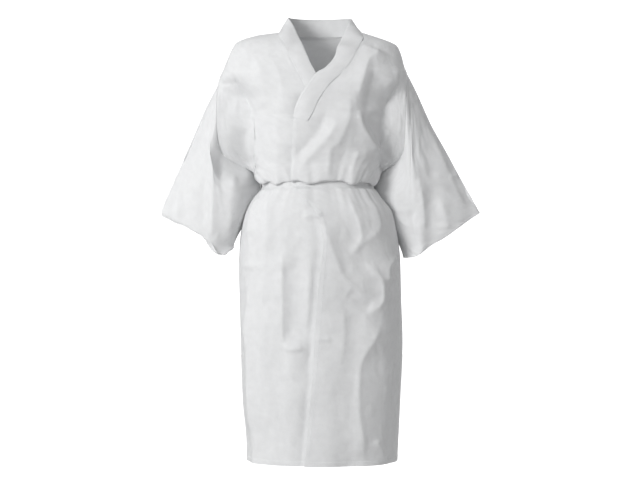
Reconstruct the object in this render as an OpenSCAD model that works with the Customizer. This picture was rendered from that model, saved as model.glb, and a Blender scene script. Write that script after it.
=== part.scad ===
// Wrap-over patient gown in thin nonwoven cloth, hanging as it is worn.
// The front faces -Y, the wearer's left is +X, and the origin is the middle of the neck
// opening at the height of the side neck points.

/* [Cloth] */
// Thickness of each cloth solid, a stand-in for cloth that is far thinner
cloth_t = 1.2; // [1:0.1:1.5]
// How far the over panel lies in front of the under panel
lap_gap = 5; // [4.6:0.1:5.2]
// Clear space between pieces that move apart
run_gap = 1.6; // [1.2:0.1:2]

/* [Body] */
// Drop from the side neck points to the hem
hem_drop = 1075; // [1060:1:1085]
// Drop from the side neck points to the tied waist
waist_drop = 383; // [381:1:385]
// Half width at the tied waist
waist_hw = 138.6; // [134:0.2:142]
// Half width at the hip
hip_hw = 203; // [199:1:205]
// Depth of the front at the chest
chest_d = 118; // [112:1:124]
// Depth of the skirt at the hip, front and back
hip_d = 134; // [130:1:138]
// Squareness of the body's rings, 2 for an ellipse
ring_n = 2.3; // [2:0.1:2.6]

/* [Fronts] */
// Where the over panel's free edge meets the waist, from the middle
over_waist_x = -65; // [-70:1:-60]
// Where the over panel's free edge meets the hem, from the middle
over_hem_x = -32; // [-40:1:-25]
// Where the under panel's free edge lies in the skirt, from the middle
under_skirt_x = 104; // [95:1:108]

/* [Sleeves] */
// Drop from the side neck points to the underarm
underarm_drop = 345; // [343:1:347]
// Depth of the armhole, from the middle to the front or back
armhole_d = 45; // [42:1:48]
// Depth of the sleeve's open end, from the middle to the front or back
cuff_d = 46; // [42:1:50]

/* [Neckband and belt] */
// Width of the belt
belt_w = 25; // [22:1:26]
// Thickness of the belt
belt_t = 1.5; // [1.2:0.1:1.6]
// Distance of the belt's outside from the cloth under it
belt_off = 8.6; // [8.4:0.1:8.8]
// Length of the longer loose end of the belt
end_long_l = 230; // [180:5:240]
// Length of the shorter loose end of the belt
end_short_l = 165; // [120:5:170]
// Radius of a sewn seam's thread chain
seam_r = 1; // [0.8:0.1:1.1]

/* [Hidden] */
LEFT = 1;
RIGHT = -1;
CLOTH = "whitesmoke";
THREAD = "white";
FRONT_COLS = 16;
BACK_COLS = 26;
SLEEVE_COLS = 14;
SLEEVE_ROWS = 12;
BELT_COLS = 56;
TUBE_SIDES = 6;
NECK_Y = 15;
GROOVE_X = 168;
GROOVE_W = 30;
GROOVE_D = 24;
KNOT_PHI = 148;
SEAM_PHI = 89.6;
SEAM_ROOM = 2;
ARMHOLE_SEAM_PHI = 83;
BAND_LIFT = 3;
BAND_ROWS = 3;
BAND_COLS = 54;
// The belt loops' line, each [drop below the neck points, distance off the side]
LOOP_LINE = [[362, 5.5], [367, 11], [372, 12.6], [380, 13], [388, 12.6], [394, 10.5], [400, 5.5]];

// ---- Tables of the body's rings, each [drop below the neck points, size] -------------
// Half width down the wearer's left side: shoulder, armhole, underarm, waist, hip, hem
LEFT_HW = [
    [0, 96], [5, 118], [16, 152], [30, 188], [38, 200], [60, 209], [90, 217],
    [108, 223], [134, 221], [234, 218], [290, 216], [312, 209], [326, 199],
    [336, 188], [underarm_drop, 174], [353, 158], [360, 147], [366, 141],
    [waist_drop, waist_hw], [398, 143], [420, 160], [454, 186], [500, 197],
    [570, hip_hw + 3], [675, hip_hw + 6], [776, hip_hw + 9], [930, hip_hw + 3],
    [hem_drop, hip_hw - 4]
];
// Half width down the wearer's right side
RIGHT_HW = [
    [0, 96], [5, 140], [12, 170], [20, 194], [29, 208], [45, 217], [90, 236],
    [134, 252], [200, 253], [270, 250], [300, 243], [318, 228], [334, 204],
    [underarm_drop, 178], [353, 159], [360, 147], [366, 141],
    [waist_drop, waist_hw], [398, 144],
    [420, 163], [461, 184], [500, 193], [537, hip_hw - 6], [600, hip_hw - 4],
    [675, hip_hw - 6], [927, hip_hw - 14], [1028, hip_hw - 23],
    [hem_drop, hip_hw - 24]
];
FRONT_D = [
    [0, 8], [5, 30], [12, 44], [30, 64], [60, 86], [110, 105], [200, chest_d],
    [300, 110], [366, 104], [waist_drop, 103], [400, 107], [440, 122],
    [500, 131], [600, hip_d], [hem_drop, hip_d + 4]
];
BACK_D = [
    [0, 72], [5, 78], [30, 90], [60, 100], [110, 112], [200, 118], [300, 106],
    [366, 96], [waist_drop, 95], [400, 99], [440, 116], [500, 129],
    [600, hip_d + 2], [hem_drop, hip_d]
];
TOP_DROP = [[RIGHT, 134], [LEFT, 100]];

function clamp(v, lo, hi) = max(lo, min(hi, v));
function mix(a, b, t) = a * (1 - t) + b * t;
function ease(t) = let(c = clamp(t, 0, 1)) c * c * (3 - 2 * c);
function half_w(side, d) = lookup(d, side == LEFT ? LEFT_HW : RIGHT_HW);
function armhole_top(side) = lookup(side, TOP_DROP);

// Distance of the body's edge from the middle plane: 0 at the armhole's two ends
function edge_d(side, d, back) =
    let(
        top = armhole_top(side), t = (d - top) / (underarm_drop - top),
        turned = SEAM_ROOM * exp(-pow((d - underarm_drop) / 12, 2))
    )
    d < top ? (back ? 1 : -1) * NECK_Y * (1 - ease(d / 60))
    : d > underarm_drop ? turned
    : max(armhole_d * pow(sin(180 * t), 0.7), turned);

// The hollow that runs down between the chest and the arm
function groove(x, d) =
    GROOVE_D * ease((d - 110) / 160) * (1 - ease((d - 300) / 36))
    * exp(-pow((abs(x) - GROOVE_X) / GROOVE_W, 2));

// A point of the body at drop d: phi is 0 at the front middle, 90 at the wearer's left
// side, -90 at the right side and 180 at the back middle. gx and gy set it off outwards.
function body_point(d, phi, gx = 0, gy = 0) =
    let(
        side = sin(phi) < 0 ? RIGHT : LEFT,
        back = cos(phi) < 0,
        x = (half_w(side, d) + gx) * pow(abs(sin(phi)), 2 / ring_n),
        c = abs(cos(phi)),
        rim = edge_d(side, d, back),
        full = lookup(d, back ? BACK_D : FRONT_D),
        depth = rim + (full - rim) * pow(c, 2 / ring_n) + gy * min(1, 1.8 * c)
            - groove(x, d) * (back ? 0.6 : 1)
    )
    [side * x, (back ? 1 : -1) * depth, -d];

// The angle at which the front ring at drop d passes x
function phi_at(x, d) =
    let(side = x < 0 ? RIGHT : LEFT)
    side * asin(pow(min(1, abs(x) / half_w(side, d)), ring_n / 2));

// The front's surface at x and drop d
function front_point(x, d, gy = 0) = body_point(d, phi_at(x, d), 0, gy);

// ---- Curves and sheets ---------------------------------------------------------------
// A smooth curve through points, at t from 0 to 1
function curve(pts, t) =
    let(
        n = len(pts) - 1, s = clamp(t, 0, 1) * n, i = min(floor(s), n - 1), f = s - i,
        a = pts[max(i - 1, 0)], b = pts[i], c = pts[i + 1], e = pts[min(i + 2, n)]
    )
    0.5 * (2 * b + (c - a) * f + (2 * a - 5 * b + 4 * c - e) * f * f
        + (3 * b - a - 3 * c + e) * f * f * f);
function steps(n) = [for (i = [0 : n]) i / n];
function unit(v) = v / max(norm(v), 1e-9);

// The outward normal of grid g at row i and column j
function grid_normal(g, i, j, closed) =
    let(
        r = len(g) - 1, c = len(g[0]),
        j0 = closed ? (j + c - 1) % c : max(j - 1, 0),
        j1 = closed ? (j + 1) % c : min(j + 1, c - 1),
        du = g[i][j1] - g[i][j0], dv = g[min(i + 1, r)][j] - g[max(i - 1, 0)][j]
    )
    unit(cross(dv, du));

function quad(a, b, c, e) = [[a, b, c], [a, c, e]];
function flat_list(lists) = [for (l = lists) for (v = l) v];

// A sheet of thickness t whose outside is grid g. A closed sheet's last column joins its
// first. Columns run clockwise and rows run down, as seen from outside.
module sheet(g, t = cloth_t, closed = false) {
    rows = len(g);
    cols = len(g[0]);
    inner = rows * cols;
    spans = closed ? cols - 1 : cols - 2;
    outside = flat_list(g);
    inside = flat_list([for (i = [0 : rows - 1])
        [for (j = [0 : cols - 1]) g[i][j] - t * grid_normal(g, i, j, closed)]]);
    function at(i, j) = i * cols + j % cols;
    faces = concat(
        flat_list([for (i = [0 : rows - 2]) for (j = [0 : spans])
            quad(at(i, j), at(i, j + 1), at(i + 1, j + 1), at(i + 1, j))]),
        flat_list([for (i = [0 : rows - 2]) for (j = [0 : spans])
            quad(inner + at(i, j), inner + at(i + 1, j), inner + at(i + 1, j + 1),
                inner + at(i, j + 1))]),
        flat_list([for (j = [0 : spans])
            quad(at(0, j + 1), at(0, j), inner + at(0, j), inner + at(0, j + 1))]),
        flat_list([for (j = [0 : spans])
            quad(at(rows - 1, j), at(rows - 1, j + 1), inner + at(rows - 1, j + 1),
                inner + at(rows - 1, j))]),
        closed ? [] : flat_list([for (i = [0 : rows - 2])
            quad(at(i, 0), at(i + 1, 0), inner + at(i + 1, 0), inner + at(i, 0))]),
        closed ? [] : flat_list([for (i = [0 : rows - 2])
            quad(at(i + 1, cols - 1), at(i, cols - 1), inner + at(i, cols - 1),
                inner + at(i + 1, cols - 1))])
    );
    polyhedron(concat(outside, inside), faces, convexity = 10);
}

// A round thread of radius r along a list of points
module thread(pts, r = seam_r) {
    n = len(pts);
    rings = [for (i = [0 : n - 1])
        let(
            dir = unit(pts[min(i + 1, n - 1)] - pts[max(i - 1, 0)]),
            ref = abs(dir[1]) < 0.8 ? [0, 1, 0] : [1, 0, 0],
            a = unit(cross(dir, ref)), b = cross(dir, a)
        )
        [for (k = [0 : TUBE_SIDES - 1])
            pts[i] + r * (cos(k * 360 / TUBE_SIDES) * a + sin(k * 360 / TUBE_SIDES) * b)]];
    function at(i, k) = i * TUBE_SIDES + k % TUBE_SIDES;
    sides = flat_list([for (i = [0 : n - 2]) for (k = [0 : TUBE_SIDES - 1])
        quad(at(i, k), at(i + 1, k), at(i + 1, k + 1), at(i, k + 1))]);
    caps = [
        [for (k = [0 : TUBE_SIDES - 1]) at(0, k)],
        [for (k = [TUBE_SIDES - 1 : -1 : 0]) at(n - 1, k)]
    ];
    polyhedron(flat_list(rings), concat(sides, caps), convexity = 10);
}

// ---- Panels --------------------------------------------------------------------------
// Each front is cut just below the belt, so that its skirt can swing clear of the belt
BELT_DROP = waist_drop - 3;
FRONT_CUT = BELT_DROP + belt_w / 2 + 3.5;
UPPER_DROPS = [
    1.5, 5, 12, 20, 30, 42, 58, 78, 105, 134, 165, 200, 235, 270, 300, 322, 338, 347, 355,
    362, 370, waist_drop, FRONT_CUT - run_gap / 2
];
SKIRT_START = FRONT_CUT + run_gap / 2;
SKIRT_DROPS = concat(
    [for (d = [0, 10, 24, 42, 66, 92, 125, 170, 235, 320, 430, 560]) SKIRT_START + d],
    [hem_drop]
);

// The seam between the over panel and the neckband, then the panel's own free edge
OVER_EDGE = [
    [0, 97], [28, 113], [38, 106], [50, 92], [85, 76], [122, 45], [140, 22], [164, 0],
    [196, -22], [214, -32], [218, -58], [310, -63], [waist_drop, over_waist_x]
];
// The same for the under panel
UNDER_EDGE = [
    [0, 97], [45, 78], [73, 68], [106, 50], [150, 30], [210, 6], [215, -36],
    [waist_drop, -80]
];
// The free edges of the two skirt fronts
OVER_SKIRT_EDGE = [
    [waist_drop, -32], [420, -2], [470, 8], [530, 4], [680, -5], [hem_drop, over_hem_x]
];
UNDER_SKIRT_EDGE = [
    [waist_drop, 20 - under_skirt_x], [470, -under_skirt_x], [hem_drop, -under_skirt_x]
];

function row_of(d, from, to, cols, gy) =
    [for (u = steps(cols)) body_point(d, mix(from, to, u), 0, gy)];

// The over panel is drawn from its free edge to the side, and the under panel from the
// side to its free edge, so both run clockwise as seen from the front.
module over_panel(drops, edge) {
    sheet([for (d = drops)
        row_of(d, phi_at(lookup(d, edge), d), SEAM_PHI, FRONT_COLS, lap_gap)]);
}
module under_panel(drops, edge) {
    sheet([for (d = drops)
        row_of(d, -SEAM_PHI, phi_at(-lookup(d, edge), d), FRONT_COLS, 0)]);
}

module back_panel() {
    drops = concat(UPPER_DROPS, SKIRT_DROPS);
    color(CLOTH)
        sheet([for (d = drops) row_of(d, 180 - SEAM_PHI, 180 + SEAM_PHI, BACK_COLS, 0)]);
}
module left_front_upper() {
    color(CLOTH) over_panel(UPPER_DROPS, OVER_EDGE);
}
module left_front_skirt() {
    color(CLOTH) over_panel(SKIRT_DROPS, OVER_SKIRT_EDGE);
}
module right_front_upper() {
    color(CLOTH) under_panel(UPPER_DROPS, UNDER_EDGE);
}
module right_front_skirt() {
    color(CLOTH) under_panel(SKIRT_DROPS, UNDER_SKIRT_EDGE);
}

// ---- Sleeves -------------------------------------------------------------------------
// The folded outer line of each sleeve, from the armhole's top to the outer tip
LEFT_OUTER = [
    [half_w(LEFT, 100) + run_gap, 0, -101], [249, 0, -154], [285, 0, -234],
    [322, 0, -302], [355, 0, -365], [390, 0, -428], [405, 0, -456]
];
RIGHT_OUTER = [
    [half_w(RIGHT, 134) + run_gap, 0, -135], [285, 0, -197], [307, 0, -248],
    [328, 0, -297], [361, 0, -372], [392, 0, -443], [393, 0, -464]
];
// The underarm line of each sleeve, from the underarm down beside the body
LEFT_INNER = [
    [half_w(LEFT, underarm_drop) + run_gap, 0, -underarm_drop - 4], [171, 18, -363],
    [164, 30, -384], [166, 37, -408], [184, 38, -444], [202, 33, -486],
    [215, 22, -534], [218, 4, -569]
];
RIGHT_INNER = [
    [half_w(RIGHT, underarm_drop) + run_gap, 0, -underarm_drop - 4], [172, 18, -363],
    [165, 30, -384], [166, 37, -408], [184, 38, -444], [202, 33, -486],
    [214, 22, -532], [217, 4, -566]
];
// The open end between the outer tip and the underarm line, with y as a share of cuff_d
LEFT_END = [[405, 0, -456], [338, 0.8, -502], [268, 1, -548], [244, 0.7, -567], [218, 0, -569]];
RIGHT_END = [[393, 0, -464], [334, 0.8, -492], [275, 1, -520], [243, 0.7, -562], [217, 0, -566]];
SLEEVE_PUFF = 16;

// The sleeve's edge at the armhole, just outside the body's own edge
function armhole_point(side, u, face) =
    let(d = mix(armhole_top(side) + 1, underarm_drop, (1 - cos(180 * u)) / 2))
    [half_w(side, d) + run_gap, face * edge_d(side, d, true), -d - 4 * ease((d - 270) / 50)];

// A sleeve point on the +X side: u runs from the outer line to the underarm line, v down
// the sleeve, and face is -1 in front and 1 behind.
function sleeve_point(side, u, v, face) =
    let(
        outer = side == LEFT ? LEFT_OUTER : RIGHT_OUTER,
        inner = side == LEFT ? LEFT_INNER : RIGHT_INNER,
        end = side == LEFT ? LEFT_END : RIGHT_END,
        e = curve(end, u),
        cuff = [e[0], face * max(e[1], 0) * cuff_d + 4 * u * u, e[2]],
        hug = pow(u, 4),
        last = len(inner) - 1,
        out_line = curve(outer, v) - mix(outer[0], outer[len(outer) - 1], v),
        in_line = curve(inner, v) - mix(inner[0], inner[last], v)
    )
    mix(armhole_point(side, u, face), cuff, v) + mix(out_line, in_line, hug)
        + [0, face * SLEEVE_PUFF * sin(180 * u) * sin(180 * v), 0];

module sleeve(side) {
    first = side == RIGHT ? -1 : 1;
    grid = [for (v = steps(SLEEVE_ROWS))
        [for (j = [0 : 2 * SLEEVE_COLS - 1])
            let(
                t = j / SLEEVE_COLS,
                p = t <= 1 ? sleeve_point(side, t, v, first)
                    : sleeve_point(side, 2 - t, v, -first)
            )
            [side * p[0], p[1], p[2]]]];
    color(CLOTH) sheet(grid, closed = true);
}
module left_sleeve() {
    sleeve(LEFT);
}
module right_sleeve() {
    sleeve(RIGHT);
}

// ---- Neckband ------------------------------------------------------------------------
// Pairs of points along the band, [free edge, sewn edge], from the over panel's end,
// round the back of the neck, to the under panel's end
OVER_BAND = lap_gap + BAND_LIFT;
BAND = [
    [front_point(-58, 214, OVER_BAND), front_point(-24, 226, OVER_BAND)],
    [front_point(-53, 189, OVER_BAND), front_point(-10, 205, OVER_BAND)],
    [front_point(-38, 156, OVER_BAND), front_point(0, 176, OVER_BAND)],
    [front_point(-6, 106, OVER_BAND), front_point(28, 134, OVER_BAND)],
    [front_point(18, 93, OVER_BAND), front_point(52, 112, OVER_BAND)],
    [front_point(40, 68, OVER_BAND), front_point(80, 80, OVER_BAND)],
    [front_point(48, 42, OVER_BAND), front_point(98, 50, OVER_BAND)],
    [[58, -58, -20], front_point(110, 34, OVER_BAND)],
    [[70, -34, 8], front_point(118, 20, OVER_BAND)],
    [[79, -10, 27], [114, -12, 5]],
    [[84, 14, 36], [103, 16, 5]],
    [[72, 44, 41], [86, 48, 5]],
    [[40, 68, 43], [47, 73, 5]],
    [[0, 77, 44], [0, 82, 5]],
    [[-40, 68, 43], [-47, 73, 5]],
    [[-70, 44, 42], [-82, 48, 5]],
    [[-77, 14, 39], [-97, 16, 5]],
    [[-69, -10, 27], [-98, -12, 4]],
    [[-61, -32, 12], front_point(-97, 20, BAND_LIFT)],
    [[-47, -58, -18], front_point(-80, 45, BAND_LIFT)],
    [front_point(-33, 48, BAND_LIFT), front_point(-69, 73, BAND_LIFT)],
    [front_point(-18, 84, BAND_LIFT), front_point(-52, 106, BAND_LIFT)],
    [front_point(-8, 101, BAND_LIFT), front_point(-43, 122, BAND_LIFT)],
    [front_point(14, 150, BAND_LIFT), front_point(-27, 158, BAND_LIFT)],
    [front_point(40, 206, BAND_LIFT), front_point(0, 218, BAND_LIFT)]
];

module neckband() {
    free = [for (pair = BAND) pair[0]];
    sewn = [for (pair = BAND) pair[1]];
    color(CLOTH)
        sheet([for (w = steps(BAND_ROWS))
            [for (t = steps(BAND_COLS)) mix(curve(free, t), curve(sewn, t), w)]]);
}

// ---- Belt ----------------------------------------------------------------------------
KNOT_DEPTH = belt_off + 10.5;
KNOT_AT = body_point(BELT_DROP, KNOT_PHI, KNOT_DEPTH, KNOT_DEPTH);
END_TOP = BELT_DROP + belt_w / 2 + 4;

function back_point(x, d, g) = body_point(d, 180 - phi_at(x, d), g, g);

module waist_belt() {
    color(CLOTH)
        sheet([for (d = [BELT_DROP - belt_w / 2, BELT_DROP, BELT_DROP + belt_w / 2])
            [for (j = [0 : BELT_COLS - 1])
                body_point(d, -180 + (j + 0.5) * 360 / BELT_COLS, belt_off, belt_off)]],
            belt_t, closed = true);
}
module belt_knot() {
    color(CLOTH) hull() {
        translate(KNOT_AT) sphere(8, $fn = 24);
        translate(KNOT_AT + [-7, 1, -4]) sphere(6, $fn = 24);
        translate(KNOT_AT + [8, -2, -3]) sphere(5, $fn = 24);
    }
}
// A loose end that hangs from the knot over the back of the skirt
module belt_end(middle_x, length, lean) {
    rows = 9;
    color(CLOTH)
        sheet([for (v = steps(rows))
            [for (w = [0.5, 0, -0.5])
                let(d = END_TOP + v * length)
                back_point(middle_x + lean * v + w * belt_w, d, mix(13, 8, ease(3 * v)))]],
            belt_t);
}
module belt_end_long() {
    belt_end(KNOT_AT[0] - 16, end_long_l, -14);
}
module belt_end_short() {
    belt_end(KNOT_AT[0] + 14, end_short_l, 8);
}
// A narrow strip at the side that keeps the belt at the waist
module belt_loop(side) {
    grid = [for (p = LOOP_LINE) [for (y = side == LEFT ? [-4, 0, 4] : [4, 0, -4])
        [side * (half_w(side, p[0]) + p[1]), y, -p[0]]]];
    color(CLOTH) sheet(grid);
}
module left_belt_loop() {
    belt_loop(LEFT);
}
module right_belt_loop() {
    belt_loop(RIGHT);
}

// ---- Sewn seams ----------------------------------------------------------------------
module shoulder_seam(side) {
    color(THREAD) thread([for (d = [7, each [12 : 8 : armhole_top(side) - 4]])
        [side * (half_w(side, d) + seam_r + 1.2), NECK_Y * (1 - ease(d / 60)),
            seam_r + 1.2 - d]]);
}
module armhole_seam(side) {
    for (face = [-1, 1])
        color(THREAD) thread([for (u = steps(12))
            body_point(
                mix(armhole_top(side) + 8, underarm_drop - 52, u),
                side * (90 + face * (90 - ARMHOLE_SEAM_PHI)), seam_r + 0.6
            )]);
}
module side_seam(side) {
    color(THREAD) thread([for (d = SKIRT_DROPS)
        [side * (half_w(side, d) + seam_r + 1.2), seam_r + 1.4, -min(d, hem_drop - 2)]]);
}
module left_shoulder_seam() {
    shoulder_seam(LEFT);
}
module right_shoulder_seam() {
    shoulder_seam(RIGHT);
}
module left_armhole_seam() {
    armhole_seam(LEFT);
}
module right_armhole_seam() {
    armhole_seam(RIGHT);
}
module left_side_seam() {
    side_seam(LEFT);
}
module right_side_seam() {
    side_seam(RIGHT);
}

back_panel();
left_front_upper();
left_front_skirt();
right_front_upper();
right_front_skirt();
left_sleeve();
right_sleeve();
neckband();
waist_belt();
belt_knot();
belt_end_long();
belt_end_short();
left_belt_loop();
right_belt_loop();
left_shoulder_seam();
right_shoulder_seam();
left_armhole_seam();
right_armhole_seam();
left_side_seam();
right_side_seam();
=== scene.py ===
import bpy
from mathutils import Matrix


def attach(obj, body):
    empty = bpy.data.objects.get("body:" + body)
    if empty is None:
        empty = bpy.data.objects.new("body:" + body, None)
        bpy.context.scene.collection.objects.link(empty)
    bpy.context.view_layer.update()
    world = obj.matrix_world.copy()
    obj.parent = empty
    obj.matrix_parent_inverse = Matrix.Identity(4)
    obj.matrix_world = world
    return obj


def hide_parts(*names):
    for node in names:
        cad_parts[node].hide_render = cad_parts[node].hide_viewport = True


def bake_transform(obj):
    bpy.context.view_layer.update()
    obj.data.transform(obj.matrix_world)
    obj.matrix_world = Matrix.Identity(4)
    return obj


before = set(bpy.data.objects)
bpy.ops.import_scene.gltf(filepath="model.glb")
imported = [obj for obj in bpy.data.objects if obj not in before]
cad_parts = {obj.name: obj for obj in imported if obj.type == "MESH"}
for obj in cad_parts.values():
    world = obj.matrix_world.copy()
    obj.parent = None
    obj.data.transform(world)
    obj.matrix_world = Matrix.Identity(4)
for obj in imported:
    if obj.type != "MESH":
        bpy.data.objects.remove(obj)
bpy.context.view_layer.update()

import logging
import math
from collections.abc import Callable, Sequence
from dataclasses import dataclass, field
from enum import Enum

import bpy
import numpy as np

log = logging.getLogger("patient_gown")
MM = 0.001
SEAM_JUMP = 0.1
CREASE_ANGLE = math.radians(60)
STITCH_PITCH = 0.0042
STITCH_LENGTH = 0.0031
THREAD_RADIUS = 0.0004
Points = Sequence[tuple[float, float]]


# ---- Choices -------------------------------------------------------------------------
class Side(Enum):
    """The wearer's left or right, with the sign of x on that side."""

    LEFT = 1
    RIGHT = -1

    @property
    def word(self) -> str:
        """The side's name, as pieces and CAD nodes have it."""
        return self.name.lower()


class Crest(Enum):
    """How the top of a fold is shaped, as the power of its falling off."""

    CREASED = 1.0
    ROUNDED = 2.0


class Hold(Enum):
    """How a sheet of cloth is held."""

    HUNG = "hung"
    STRETCHED = "stretched"


# ---- Curves --------------------------------------------------------------------------
def ease(t: np.ndarray | float) -> np.ndarray | float:
    """A smooth rise from 0 to 1 as t goes from 0 to 1."""
    c = np.clip(t, 0.0, 1.0)
    return c * c * (3 - 2 * c)


def bump(x: np.ndarray, centre: float, width: float) -> np.ndarray:
    """A rounded bump of height 1 at centre."""
    return np.exp(-(((x - centre) / width) ** 2))


def smooth_line(points: Sequence[Sequence[float]], t: np.ndarray) -> np.ndarray:
    """A smooth curve through points.

    Args:
        points: the points that it passes.
        t: where along it, from 0 to 1.

    Returns:
        One point for each value of t.
    """
    p = np.asarray(points, float)
    last = len(p) - 1
    s = np.clip(np.asarray(t, float), 0, 1) * last
    i = np.minimum(s.astype(int), last - 1)
    f = (s - i)[..., None]
    a, b, c, e = p[np.maximum(i - 1, 0)], p[i], p[i + 1], p[np.minimum(i + 2, last)]
    return 0.5 * (2 * b + (c - a) * f + (2 * a - 5 * b + 4 * c - e) * f ** 2
                  + (3 * b - a - 3 * c + e) * f ** 3)


@dataclass(frozen=True)
class Profile:
    """A size that changes with the drop below the neck points, both in millimetres."""

    rows: Points

    def at(self, drop: np.ndarray | float) -> np.ndarray:
        """The size in metres at each drop in metres, without overshooting between rows."""
        table = np.asarray(self.rows, float) * MM
        x, y = table[:, 0], table[:, 1]
        h = np.diff(x)
        rise = np.diff(y) / h
        slope = np.zeros(len(x))
        same = rise[:-1] * rise[1:] > 0
        slope[1:-1][same] = 2 * rise[:-1][same] * rise[1:][same] / (rise[:-1] + rise[1:])[same]
        slope[0], slope[-1] = rise[0], rise[-1]
        d = np.clip(np.asarray(drop, float), x[0], x[-1])
        i = np.clip(np.searchsorted(x, d, side="right") - 1, 0, len(h) - 1)
        t = (d - x[i]) / h[i]
        return ((1 + 2 * t) * (1 - t) ** 2 * y[i] + t * (1 - t) ** 2 * h[i] * slope[i]
                + t * t * (3 - 2 * t) * y[i + 1] + t * t * (t - 1) * h[i] * slope[i + 1])


# ---- Relief of the cloth -------------------------------------------------------------
@dataclass(frozen=True)
class Fold:
    """One fold of the cloth, drawn as a line on the garment as it is seen from outside.

    The line's points are (across, drop) in millimetres. The fold rises by height, and falls
    off over left and right, on the left and right of someone following the line downwards
    on the page. A negative height is a hollow.
    """

    line: Points
    height: float
    left: float
    right: float
    crest: Crest = Crest.CREASED

    def relief(self, across: np.ndarray, drop: np.ndarray) -> np.ndarray:
        """Height of this fold in metres at each place in metres."""
        reach = 4 * max(self.left, self.right) * MM
        p = smooth_line(self.line, np.linspace(0, 1, 4 * len(self.line))) * MM
        near = ((across > p[:, 0].min() - reach) & (across < p[:, 0].max() + reach)
                & (drop > p[:, 1].min() - reach) & (drop < p[:, 1].max() + reach))
        out = np.zeros(across.shape)
        if not near.any():
            return out
        q = np.stack([across[near], drop[near]], 1)
        best = np.full(len(q), 1e9)
        sign, along = np.zeros(len(q)), np.zeros(len(q))
        for k in range(len(p) - 1):
            step = p[k + 1] - p[k]
            t = np.clip((q - p[k]) @ step / (step @ step), 0, 1)
            off = q - p[k] - t[:, None] * step
            dist = np.hypot(off[:, 0], off[:, 1])
            closer = dist < best
            turn = off[:, 0] * step[1] - off[:, 1] * step[0]
            best = np.where(closer, dist, best)
            sign = np.where(closer, turn, sign)
            along = np.where(closer, (k + t) / (len(p) - 1), along)
        width = np.where(sign < 0, self.left, self.right) * MM
        softened = np.sqrt(best ** 2 + 0.002 ** 2) - 0.002
        fall = np.exp(-((softened / width) ** self.crest.value))
        ends = ease(along / 0.22) * ease((1 - along) / 0.22)
        out[near] = self.height * MM * fall * (0.15 + 0.85 * ends)
        return out


@dataclass(frozen=True)
class Facets:
    """Small flat facets that meet in straight creases, as in crumpled nonwoven cloth."""

    across: float
    down: float
    height: float
    seed: float

    @staticmethod
    def _chance(i: np.ndarray, j: np.ndarray, seed: float) -> np.ndarray:
        """A fixed number from 0 to 1 for each cell."""
        return np.abs(np.sin(i * 127.1 + j * 311.7 + seed * 74.7) * 43758.5453) % 1.0

    def relief(self, u: np.ndarray, v: np.ndarray) -> np.ndarray:
        """Height in metres at each place of the flat cloth, in metres."""
        gu, gv = u / (self.across * MM), v / (self.down * MM)
        iu, iv = np.floor(gu), np.floor(gv)
        first, second = np.full(u.shape, 9.0), np.full(u.shape, 9.0)
        tilt = np.zeros(u.shape)
        for du in (-1, 0, 1):
            for dv in (-1, 0, 1):
                cu, cv = iu + du, iv + dv
                dx = gu - cu - self._chance(cu, cv, self.seed)
                dy = gv - cv - self._chance(cu, cv, self.seed + 1)
                dist = np.hypot(dx, dy)
                lean = (self._chance(cu, cv, self.seed + 2) - 0.5) * 2
                nearer = dist < first
                second = np.where(nearer, first, np.minimum(second, dist))
                tilt = np.where(nearer, lean, tilt)
                first = np.where(nearer, dist, first)
        return self.height * MM * tilt * np.minimum(second - first, 0.8)


def waves(u: np.ndarray, lengths: Sequence[float], seed: float) -> np.ndarray:
    """Uneven waves across the cloth, about 1 high.

    Args:
        u: place across the cloth, in metres.
        lengths: the waves' lengths, in metres.
        seed: sets where they start.

    Returns:
        The height at each place.
    """
    total = np.zeros(np.shape(u))
    for k, length in enumerate(lengths):
        total += np.sin(2 * math.pi * u / length + seed * (k + 1.7) * 2.3) / (k + 1)
    return total / sum(1 / (k + 1) for k in range(len(lengths)))


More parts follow.
